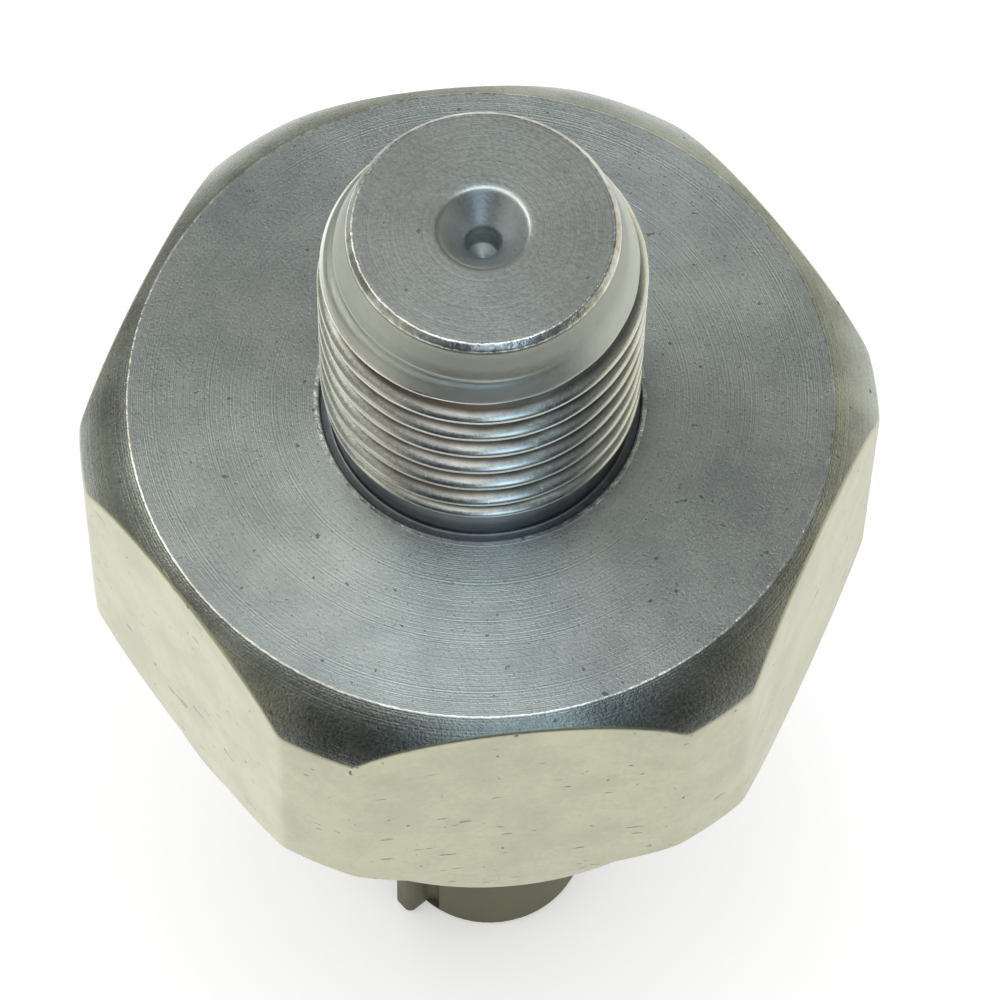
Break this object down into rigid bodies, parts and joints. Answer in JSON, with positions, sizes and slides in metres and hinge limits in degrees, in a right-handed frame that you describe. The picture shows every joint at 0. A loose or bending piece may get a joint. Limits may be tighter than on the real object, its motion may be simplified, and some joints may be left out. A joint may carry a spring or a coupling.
{
  "type": "knock sensor",
  "caption": "Screw-in engine knock sensor: threaded stud on a hexagon housing with a rolled collar, ceramic sensing stack inside, slim round plastic connector tower.",
  "frame": {"origin": "on the stud's axis, level with the rim of the connector tower that the sensor stands on", "axes": "+Z along the stud, from the connector's rim to the stud's end; -Y is square to one flat of the hexagon; the tower is set off the stud's axis towards +X"},
  "size_m": [0.0296, 0.027, 0.0525],
  "materials": {
    "housing_steel": "turned and plated, satin",
    "connector_plastic": "moulded, matte",
    "contact_brass": "stamped, satin",
    "ceramic": "fired, matte",
    "plain_steel": "turned, satin",
    "spring_steel": "dark tempered",
    "insulator": "amber film",
    "resistor_coat": "lacquered",
    "tinned_wire": "bright tin",
    "seal_rubber": "matte"
  },
  "bodies": {
    "root": {"housing": "housing_steel", "connector_body": "connector_plastic", "ground_plate": "contact_brass", "insulating_sleeve": "insulator", "piezo_ring": "ceramic", "signal_plate": "contact_brass", "insulating_washer": "insulator", "seismic_mass": "plain_steel", "disc_spring": "spring_steel", "thrust_washer": "plain_steel", "clamp_nut": "plain_steel", "shunt_resistor": "resistor_coat", "resistor_leads": "tinned_wire", "signal_strip": "contact_brass", "terminal_pin": "contact_brass", "flange_seal": "seal_rubber", "solder_joints": "tinned_wire"}
  },
  "joints": []
}
